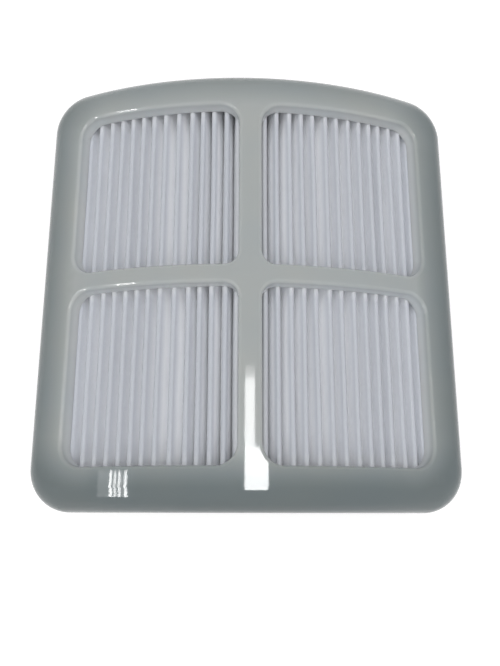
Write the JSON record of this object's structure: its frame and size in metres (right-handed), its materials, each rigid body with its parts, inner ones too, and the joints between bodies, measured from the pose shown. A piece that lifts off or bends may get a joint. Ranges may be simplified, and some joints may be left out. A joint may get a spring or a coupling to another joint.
{
  "type": "vacuum exhaust filter",
  "caption": "Curved vacuum exhaust filter: white pleated media behind a translucent grey frame with windows between a cross of bars, sealed by foam at the rear.",
  "frame": {"origin": "centre of the base, on the plane of the two level feet of the foam strip", "axes": "+X across the pleats, +Y along the pleats, +Z out of the crown of the convex face"},
  "size_m": [0.135, 0.1414, 0.0419],
  "materials": {
    "frame_plastic": "glossy, slightly translucent soft moulding",
    "filter_media": "matt nonwoven sheet",
    "potting": "satin set adhesive",
    "foam": "fine closed-cell foam"
  },
  "bodies": {
    "root": {"front_frame": "frame_plastic", "pleated_media": "filter_media", "potting_bead": "potting", "rear_gasket": "foam"}
  },
  "joints": []
}
